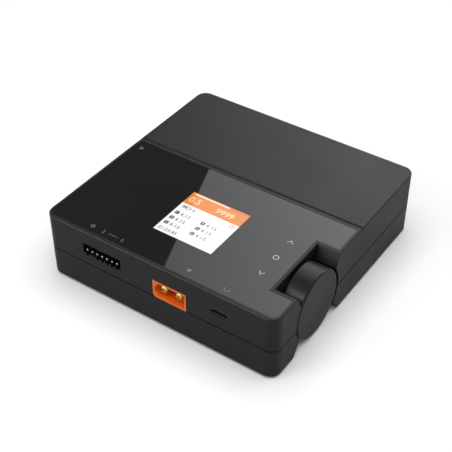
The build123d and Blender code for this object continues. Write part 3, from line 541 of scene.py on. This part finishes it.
def arrow_head(points):
    """A filled triangle from three places on the lid, going round to the left."""
    placed = [from_corner(x, y) for x, y in points]
    area = sum(a[0] * b[1] - b[0] * a[1] for a, b in zip(placed, placed[1:] + placed[:1]))
    return placed if area > 0 else placed[::-1]


def bar(x0, x1, y0, y1):
    """A filled rectangle between two places on the lid."""
    return [from_corner(x0, y0), from_corner(x1, y0), from_corner(x1, y1), from_corner(x0, y1)]


moon_x, moon_y = from_corner(85.4, 5.0)
moon = ring_mesh(
    "update_moon", moon_x, moon_y, 1.25 * MM, 1.0 * MM, ink_low, ink_high, start=150, turn=240, steps=32
)
spot_x, spot_y = from_corner(21.3, 5.0)
joined("socket_marks", [
    solid("battery_arrow", [arrow_head([(66.6, 6.1), (69.0, 6.1), (67.8, 4.3)])], ink_low, ink_high),
    solid("supply_arrow", [arrow_head([(4.0, 55.9), (4.0, 58.5), (5.8, 57.2)])], ink_low, ink_high),
    moon,
    ring_mesh("pin_one_ring", spot_x, spot_y, 0.95 * MM, 0.45 * MM, ink_low, ink_high),
    solid("row_line", [bar(29.1, 34.1, 4.72, 4.98)], ink_low, ink_high),
], ink_dim)


def numerals(text, x, y, height, low, high, spacing=1.0, weight=0.0):
    """Digits as a closed mesh, with the first one's foot at a place on the lid."""
    letters = bpy.data.curves.new("numerals", "FONT")
    letters.body = text
    letters.space_character = spacing
    letters.extrude = 0.5
    letters.offset = weight
    letters.resolution_u = 4
    holder = bpy.data.objects.new("numerals", letters)
    bpy.context.scene.collection.objects.link(holder)
    shape = bmesh.new()
    graph = bpy.context.evaluated_depsgraph_get()
    mesh = bpy.data.meshes.new_from_object(holder.evaluated_get(graph))
    shape.from_mesh(mesh)
    bpy.data.objects.remove(holder)
    bmesh.ops.remove_doubles(shape, verts=shape.verts, dist=0.0005)
    foot_x = min(v.co.x for v in shape.verts)
    foot_y = min(v.co.y for v in shape.verts)
    tall = max(v.co.y for v in shape.verts) - foot_y
    scale = height * MM / tall
    cx, cy = from_corner(x, y)
    for v in shape.verts:
        up = high if v.co.z > 0 else low
        v.co = Vector((cx + (v.co.x - foot_x) * scale, cy + (v.co.y - foot_y) * scale, up))
    shape.to_mesh(mesh)
    shape.free()
    return mesh


joined("cell_count_marks", [
    numerals("2", 26.4, 3.9, 1.9, ink_low, ink_high),
    numerals("6", 35.7, 3.9, 1.9, ink_low, ink_high),
], ink_dim)


# ---------------------------------------------------------------- screen
# A square colour screen bonded under the glass in the lid's window, 240 dots each way. It shows a white page with
# an orange head, two large numbers, six cells with their numbers and readings, a clock ring and the time.
screen_x = 55.4
screen_y = 31.35
screen_half = 13.85
head_foot = 5.75
page_low = glass_top + 0.002 * MM
page_high = glass_top + 0.012 * MM
type_low = page_high
type_high = glass_top + 0.03 * MM


def make_dots():
    """The dark grid between a screen's dots."""
    tree, take, give = effect("screen dots", {"Pitch": 0.1155, "Gap": 0.12}, {"Light": "NodeSocketFloat"})
    place = add(tree, "ShaderNodeTexCoord").outputs["Object"]
    parts = add(tree, "ShaderNodeSeparateXYZ", {"Vector": place}).outputs
    pitch = maths(tree, "MULTIPLY", take["Pitch"], MM)
    cells = [maths(tree, "FRACT", maths(tree, "DIVIDE", parts[axis], pitch)) for axis in ("X", "Y")]
    lines = [maths(tree, "LESS_THAN", cell, take["Gap"]) for cell in cells]
    line = maths(tree, "MAXIMUM", lines[0], lines[1])
    tree.links.new(maths(tree, "SUBTRACT", 1.0, maths(tree, "MULTIPLY", line, 0.35)), give["Light"])
    return tree


screen_dots = make_dots()


def lit(name, colour, strength=1.0):
    """A lit area of the screen under its glass."""
    made, tree, into = shader(name, specular=0.5)
    into["Base Color"].default_value = grey(0.01)
    into["Roughness"].default_value = 0.03
    dots = place_effect(tree, screen_dots, {})["Light"]
    tree.links.new(mix(tree, dots, grey(0.0), colour), into["Emission Color"])
    into["Emission Strength"].default_value = strength
    return made


def on_screen(x0, x1, y0, y1):
    """A rectangle of the screen, in millimetres from its middle."""
    return bar(screen_x + x0, screen_x + x1, screen_y + y0, screen_y + y1)


def reading(text, x, y, height, spacing=1.0, weight=0.012):
    """Digits on the screen, with their foot a distance from its middle."""
    return numerals(text, screen_x + x, screen_y + y, height, type_low, type_high, spacing, weight)


def rounded(x, y, half_x, half_y, radius):
    """A rectangle of the screen with round corners."""
    points = []
    for turn, (sx, sy) in enumerate(((1, 1), (-1, 1), (-1, -1), (1, -1))):
        for step in range(5):
            a = math.radians(90 * turn + 22.5 * step)
            px = x + sx * (half_x - radius) + radius * math.cos(a)
            py = y + sy * (half_y - radius) + radius * math.sin(a)
            points.append(from_corner(screen_x + px, screen_y + py))
    return points


page_white = lit("page white", (1.0, 1.0, 1.0, 1), 1.05)
head_orange = lit("head orange", (0.90, 0.262, 0.03, 1))
head_number = lit("head number", (1.0, 0.83, 0.50, 1))
type_grey = lit("type grey", (0.20, 0.20, 0.21, 1))
badge_grey = lit("badge grey", (0.075, 0.075, 0.08, 1))
line_pink = lit("line pink", (0.85, 0.13, 0.09, 1))
rule_grey = lit("rule grey", (0.72, 0.77, 0.85, 1))
clock_orange = lit("clock orange", (0.62, 0.33, 0.13, 1))

page = on_screen(-screen_half, screen_half, -screen_half, head_foot)
head = on_screen(-screen_half, screen_half, head_foot, screen_half)
joined("screen_page", [solid("page", [page], page_low, page_high)], page_white)
joined("screen_head", [solid("head", [head], page_low, page_high)], head_orange)
done_to = 4.4
done = on_screen(-12.6, done_to, 12.75, 13.3)
to_do = on_screen(done_to, 13.5, 12.75, 13.3)
joined("screen_progress", [solid("progress", [done], type_low, type_high)], page_white)
joined("screen_progress_rest", [solid("progress_rest", [to_do], type_low, type_high)], line_pink)
joined("screen_large_numbers", [
    reading("0.5", -12.7, 7.6, 3.35, weight=0.006),
    reading("9999", 0.5, 7.55, 3.15, spacing=0.97, weight=0.006),
], head_number)

badge_columns = (-11.8, 0.8)
badge_rows = (-0.75, -4.4, -8.05)
badge_half = 0.95
badge_round = 0.35
badges = []
badge_numbers = []
cell_readings = []
for column, x in enumerate(badge_columns):
    for row, y in enumerate(badge_rows):
        number = str(1 + column * len(badge_rows) + row)
        outline = rounded(x, y, badge_half, badge_half, badge_round)
        badges.append(solid("badge", [outline], type_low, type_high))
        digit_x = screen_x + x - 0.4
        digit_y = screen_y + y - 0.6
        badge_numbers.append(numerals(number, digit_x, digit_y, 1.2, type_high, type_high + 0.01 * MM))
        cell_readings.append(reading("4.15", x + 1.75, y - 0.95, 1.85, spacing=1.12))
joined("screen_badges", badges, badge_grey)
joined("screen_badge_numbers", badge_numbers, page_white)
joined("screen_cell_readings", cell_readings, type_grey)
joined("screen_small_numbers", [
    reading("01:23:45", -12.8, -12.6, 1.75, spacing=1.06),
    reading("6", -7.3, 2.95, 1.85),
], type_grey)
joined("screen_battery_mark", [
    solid("battery_case", [on_screen(-12.6, -8.6, 3.0, 3.25)], type_low, type_high),
    solid("battery_top", [on_screen(-12.6, -8.6, 4.5, 4.75)], type_low, type_high),
    solid("battery_left", [on_screen(-12.6, -12.35, 3.25, 4.5)], type_low, type_high),
    solid("battery_right", [on_screen(-8.85, -8.6, 3.25, 4.5)], type_low, type_high),
    solid("battery_cap", [on_screen(-8.6, -8.2, 3.55, 4.2)], type_low, type_high),
    solid("battery_charge", [on_screen(-12.05, -10.0, 3.5, 4.25)], type_low, type_high),
], type_grey)
rule = on_screen(-12.6, 12.7, 2.1, 2.22)
joined("screen_rule", [solid("rule", [rule], type_low, type_high)], rule_grey)
clock_x, clock_y = from_corner(screen_x + 11.4, screen_y + 4.0)
joined("screen_clock", [
    ring_mesh("clock_ring", clock_x, clock_y, 1.1 * MM, 0.72 * MM, type_low, type_high),
    solid("clock_hand", [on_screen(11.3, 11.5, 4.0, 4.55)], type_low, type_high),
], clock_orange)
screen_back = plastic("screen back", grey(0.35), grey(0.4), 0.35, depth=0.001)
dress(["display_module"], screen_back)


# ---------------------------------------------------------------- control drum
# An ABS cup turned by a fingertip, moulded with the same matt texture as the case and a little glossier from
# touch. A hub with a flatted bore presses it onto the encoder's shaft.
# Its edges rub paler, and painted shade darkens its grooves and the foot of its steps.
drum_plastic = plastic(
    "drum plastic", case_black, case_rubbed, gloss=0.34,
    grain=0.22, depth=0.004, specular=0.165, wear=0.8, drift=0.12,
)
dress(["control_drum"], drum_plastic)
hub_plastic = plastic("hub plastic", grey(0.025), grey(0.05), 0.5)
dress(["drum_hub"], hub_plastic)


# ---------------------------------------------------------------- encoder
# A square rotary encoder with a press switch: a zinc-plated shaft, bush and nut, a moulded body and plunger,
# and a sprung steel dome. It stands on its own small upright board.
def make_turned():
    """Fine lines round an axis along X, at a pitch in millimetres."""
    tree, take, give = effect("turned lines", {"Pitch": 0.3, "Wander": 0.4}, {"Height": "NodeSocketFloat"})
    place = add(tree, "ShaderNodeTexCoord").outputs["Object"]
    along = add(tree, "ShaderNodeSeparateXYZ", {"Vector": place}).outputs["X"]
    turns = maths(tree, "DIVIDE", along, maths(tree, "MULTIPLY", take["Pitch"], MM))
    wander = maths(tree, "MULTIPLY", noise(tree, 2.0, 2.0), take["Wander"])
    wave = maths(tree, "SINE", maths(tree, "MULTIPLY", maths(tree, "ADD", turns, wander), 2 * math.pi))
    tree.links.new(maths(tree, "MULTIPLY", maths(tree, "ADD", wave, 1.0), 0.5), give["Height"])
    return tree


def make_plated():
    """Plated metal: fine draw lines in the tone and the gloss."""
    tree, take, give = effect(
        "plated metal",
        {"Colour": (0.6, 0.6, 0.6, 1), "Dull": (0.4, 0.4, 0.4, 1), "Gloss": 0.25, "Line": 0.08},
        {"Colour": "NodeSocketColor", "Roughness": "NodeSocketFloat", "Height": "NodeSocketFloat"},
    )
    lines = noise(tree, take["Line"], 3.0, stretch=(1.0, 1.0, 8.0))
    cloud = spread(tree, noise(tree, 3.0, 4.0), 0.35, 0.7)
    tree.links.new(mix(tree, cloud, take["Colour"], take["Dull"]), give["Colour"])
    rough = maths(tree, "ADD", take["Gloss"], maths(tree, "MULTIPLY", cloud, 0.12))
    tree.links.new(rough, give["Roughness"])
    tree.links.new(lines, give["Height"])
    return tree


turned_lines = make_turned()
plated_metal = make_plated()


def metal(name, colour, dull, gloss, line=0.08, depth=0.002, turned=0.0):
    """Plated or bare metal; turned is the pitch of its lathe lines, or nothing."""
    made, tree, into = shader(name, metallic=1.0)
    skin = place_effect(tree, plated_metal, {"Colour": colour, "Dull": dull, "Gloss": gloss, "Line": line})
    tree.links.new(skin["Colour"], into["Base Color"])
    tree.links.new(skin["Roughness"], into["Roughness"])
    relief = skin["Height"]
    if turned:
        relief = place_effect(tree, turned_lines, {"Pitch": turned})["Height"]
    bump(tree, relief, depth, into)
    return made


steel = metal("zinc plated steel", (0.62, 0.62, 0.64, 1), (0.42, 0.42, 0.44, 1), 0.28)
turned_steel = metal("turned steel", (0.62, 0.62, 0.64, 1), (0.45, 0.45, 0.47, 1), 0.25, turned=0.35)
dress(["encoder_nut", "switch_dome"], steel)
dress(["drum_shaft", "encoder_bush"], turned_steel)
black_nylon = plastic("black nylon", grey(0.012), grey(0.03), 0.42, grain=0.12, depth=0.003)
grey_nylon = plastic("grey nylon", grey(0.30), grey(0.36), 0.45, grain=0.12, depth=0.003)
dress(["encoder_body"], black_nylon)
dress(["push_plunger"], grey_nylon)


# ---------------------------------------------------------------- battery and supply sockets
# The two power sockets are one standard part: an orange nylon shroud with bevelled corners that set the
# polarity, round two gold-plated pins whose split tips grip the lead's sleeves.
def soften(names, width):
    """A tiny round on a moulded or stamped piece's sharp edges, which catches the light."""
    for name in names:
        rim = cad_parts[name].modifiers.new("rim", "BEVEL")
        rim.width = width * MM
        rim.segments = 2
        rim.limit_method = "ANGLE"
        rim.angle_limit = math.radians(50)


orange_nylon = plastic(
    "orange nylon", (0.90, 0.155, 0.006, 1), (0.95, 0.20, 0.02, 1), gloss=0.34,
    grain=0.15, depth=0.002, specular=0.5, drift=0.3,
)
dress(["battery_socket_body", "dc_socket_body"], orange_nylon)
soften(["battery_socket_body", "dc_socket_body"], 0.18)
gold = metal("gold plate", (0.80, 0.55, 0.20, 1), (0.60, 0.38, 0.12, 1), 0.22, depth=0.001)
dress(["battery_socket_pins", "dc_socket_pins"], gold)


# ---------------------------------------------------------------- balance header
# A black nylon header with seven square pins, soldered to the board behind a slot with key notches in the lid's
# wall. The pins are cut from tinned wire; their sides are painted dark as shade, and their ends, facing along Y,
# are painted near-white as a highlight.
def make_lit_end_mask():
    """A mask of the faces that look along Y, which take a painted highlight on the pins' ends."""
    tree, take, give = effect("lit end mask", {"From": 0.45, "To": 0.75}, {"Mask": "NodeSocketFloat"})
    normal = add(tree, "ShaderNodeNewGeometry").outputs["Normal"]
    facing = add(tree, "ShaderNodeSeparateXYZ", {"Vector": normal}).outputs["Y"]
    tree.links.new(spread(tree, maths(tree, "ABSOLUTE", facing), take["From"], take["To"]), give["Mask"])
    return tree


painted_highlight_tin = (0.97, 0.97, 0.95, 1)
header_tin, tree, into = shader("header tin", metallic=1.0)
# The pins' sides are near-black as painted shade; their ends are near-white as a painted highlight.
skin = place_effect(tree, plated_metal, {"Colour": grey(0.12), "Dull": grey(0.08), "Gloss": 0.30})
lit_ends = place_effect(tree, make_lit_end_mask(), {})["Mask"]
tree.links.new(mix(tree, lit_ends, skin["Colour"], painted_highlight_tin), into["Base Color"])
tree.links.new(skin["Roughness"], into["Roughness"])
bump(tree, skin["Height"], 0.001, into)
dress(["balance_header_body"], black_nylon)
dress(["balance_header_pins"], header_tin)
soften(["balance_header_pins"], 0.12)


# ---------------------------------------------------------------- micro USB socket
# A folded steel shell of nickel plate, soldered to the board behind its own cut in the front wall. The shell's
# metal is near-black as painted shade for the dark slot. Its black tongue carries five gold contacts on the
# underside.
dress(["usb_shell"], metal("painted shade nickel", grey(0.11), grey(0.07), 0.40, depth=0.001))
dress(["usb_tongue"], black_nylon)
tongue_low, tongue_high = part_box("usb_tongue")
contact_count = 5
contact_pitch = 0.65 * MM
contact_half = 0.2 * MM
contacts = []
for n in range(contact_count):
    x = (tongue_low.x + tongue_high.x) / 2 + (n - (contact_count - 1) / 2) * contact_pitch
    y0 = tongue_low.y + 0.25 * MM
    y1 = tongue_high.y - 0.3 * MM
    outline = [(x - contact_half, y0), (x + contact_half, y0), (x + contact_half, y1), (x - contact_half, y1)]
    contacts.append(solid("contact", [outline], tongue_low.z - 0.08 * MM, tongue_low.z + 0.02 * MM))
joined("usb_contacts", contacts, gold)


# ---------------------------------------------------------------- mains inlet
# A black nylon inlet with a figure-eight mouth, which fills its hole in the back wall and stands on the power
# board. Two tinned round pins pass through it and turn down into the board.
dress(["mains_inlet_body"], black_nylon)
tin = metal("tin plate", (0.94, 0.94, 0.92, 1), (0.80, 0.80, 0.78, 1), 0.28, depth=0.001)
dress(["mains_inlet_pins"], tin)


# ---------------------------------------------------------------- fan
# A 25 mm fan of glass-filled nylon, standing between the two shells against the slots in the back wall. Its
# cup, blades and shaft are one moulding, which turns in the core of the frame.
fan_nylon = plastic("fan nylon", grey(0.014), grey(0.03), 0.5, grain=0.3, depth=0.005)
dress(["fan_frame", "fan_rotor"], fan_nylon)


# ---------------------------------------------------------------- feet and screws
# Four soft rubber pads glued into round pockets of the tray, and four black screws with hexagon sockets that
# pull the two shells together. Zinc-plated screws hold the boards.
rubber = plastic("foot rubber", grey(0.016), grey(0.035), 0.75, grain=0.5, depth=0.02, specular=0.25, drift=0.5)
dress(["feet"], rubber)
dress(["case_screws"], metal("blackened steel", grey(0.10), grey(0.06), 0.38, line=0.15))
dress(["power_board_screws", "control_board_screws"], steel)


# ---------------------------------------------------------------- circuit boards
# Glass-fibre boards 1.6 mm thick under green solder mask; the two large ones are screwed to posts in the tray
# and the lid. Copper tracks show through the mask as a paler green, with tinned holes between them.
def make_tracks():
    """Copper tracks under solder mask: stepped lines and round holes, as two masks."""
    tree, take, give = effect(
        "board tracks", {"Pitch": 1.6}, {"Track": "NodeSocketFloat", "Hole": "NodeSocketFloat"}
    )
    place = add(tree, "ShaderNodeTexCoord").outputs["Object"]
    size = maths(tree, "MULTIPLY", take["Pitch"], MM)
    scale = maths(tree, "DIVIDE", 1.0, size)
    cells = add(tree, "ShaderNodeTexVoronoi", {
        "Vector": place, "Scale": scale, "Randomness": 0.35,
    }, distance="CHEBYCHEV", feature="F1").outputs["Distance"]
    track = maths(tree, "PINGPONG", maths(tree, "MULTIPLY", cells, 2.0), 0.25)
    tree.links.new(maths(tree, "LESS_THAN", track, 0.11), give["Track"])
    round_cells = add(tree, "ShaderNodeTexVoronoi", {
        "Vector": place, "Scale": maths(tree, "MULTIPLY", scale, 0.45), "Randomness": 1.0,
    }).outputs["Distance"]
    tree.links.new(maths(tree, "LESS_THAN", round_cells, 0.09), give["Hole"])
    return tree


board_tracks = make_tracks()
board, tree, into = shader("green board", specular=0.5)
tracks = place_effect(tree, board_tracks, {"Pitch": 1.6})
mask = mix(tree, tracks["Track"], (0.010, 0.075, 0.030, 1), (0.020, 0.14, 0.055, 1))
tree.links.new(mix(tree, tracks["Hole"], mask, (0.62, 0.60, 0.52, 1)), into["Base Color"])
tree.links.new(tracks["Hole"], into["Metallic"])
tree.links.new(spread(tree, noise(tree, 1.0), 0.3, 0.7, 0.24, 0.36), into["Roughness"])
bump(tree, tracks["Track"], 0.03, into)
dress(["power_board", "control_board", "encoder_board"], board)


# ---------------------------------------------------------------- mains supply on the power board
# Ferrite transformer with a taped winding, the large capacitor in its sleeve, the ring choke, the boxed film
# capacitor, the fuse, the rectifier, and two transistors clamped to a finned heat sink over the vents.
ferrite = plastic("ferrite", grey(0.035), grey(0.07), 0.55, grain=0.15, depth=0.01, drift=0.6)
dress(["transformer_core"], ferrite)
tape = plastic("winding tape", (0.62, 0.45, 0.05, 1), (0.74, 0.58, 0.12, 1), 0.25, grain=1.5, depth=0.02)
dress(["transformer_winding"], tape)
sleeve = plastic(
    "capacitor sleeve", (0.010, 0.012, 0.030, 1), (0.03, 0.03, 0.05, 1), gloss=0.22, grain=2.0, depth=0.01
)
dress(["bulk_capacitor"], sleeve)


def make_turns():
    """Round wire laid side by side, as relief, and as the painted shade of the line between turns."""
    tree, take, give = effect("wire turns", {"Wire": 0.7}, {"Height": "NodeSocketFloat"})
    place = add(tree, "ShaderNodeTexCoord").outputs["Object"]
    size = maths(tree, "MULTIPLY", take["Wire"], MM)
    across = add(tree, "ShaderNodeSeparateXYZ", {"Vector": place}).outputs["X"]
    wave = maths(tree, "PINGPONG", maths(tree, "DIVIDE", across, size), 0.5)
    tree.links.new(maths(tree, "SQRT", wave), give["Height"])
    return tree


wire_turns = make_turns()
copper, tree, into = shader("enamelled copper", metallic=1.0)
turns = place_effect(tree, wire_turns, {"Wire": 0.7})["Height"]
# The copper darkens towards the line between turns as painted shade.
tree.links.new(mix(tree, turns, (0.25, 0.08, 0.03, 1), (0.80, 0.34, 0.14, 1)), into["Base Color"])
into["Roughness"].default_value = 0.28
bump(tree, turns, 0.2, into)
dress(["filter_choke"], copper)
film_box = plastic("film capacitor box", (0.42, 0.33, 0.06, 1), (0.5, 0.42, 0.12, 1), 0.4, grain=0.6)
dress(["filter_capacitor"], film_box)
dress(["fuse_holder", "board_link"], black_nylon)
resin = plastic("moulded resin", grey(0.018), grey(0.035), 0.5, grain=0.1, depth=0.004)
dress(["rectifier", "power_transistors"], resin)
aluminium = metal("sawn aluminium", grey(0.66), grey(0.52), 0.34, line=0.2, depth=0.01)
dress(["heat_sink"], aluminium)


# ---------------------------------------------------------------- charging stages
# Moulded inductors, polymer capacitors in bare cans, flat transistors and the bleed resistors, soldered to the
# power board. The controller, the buzzer and the screen's flat cable are on the board under the lid, and an
# insulating film lies on the floor under the mains half.
dress(["inductors", "switching_transistors", "balance_resistors", "controller_chip"], resin)
dress(["output_capacitors"], aluminium)
dress(["buzzer"], black_nylon)
dress(["display_connector"], grey_nylon)
film = plastic("polyimide film", (0.45, 0.20, 0.03, 1), (0.55, 0.30, 0.06, 1), 0.3, grain=1.2, depth=0.005)
dress(["display_ribbon", "insulation_sheet"], film)
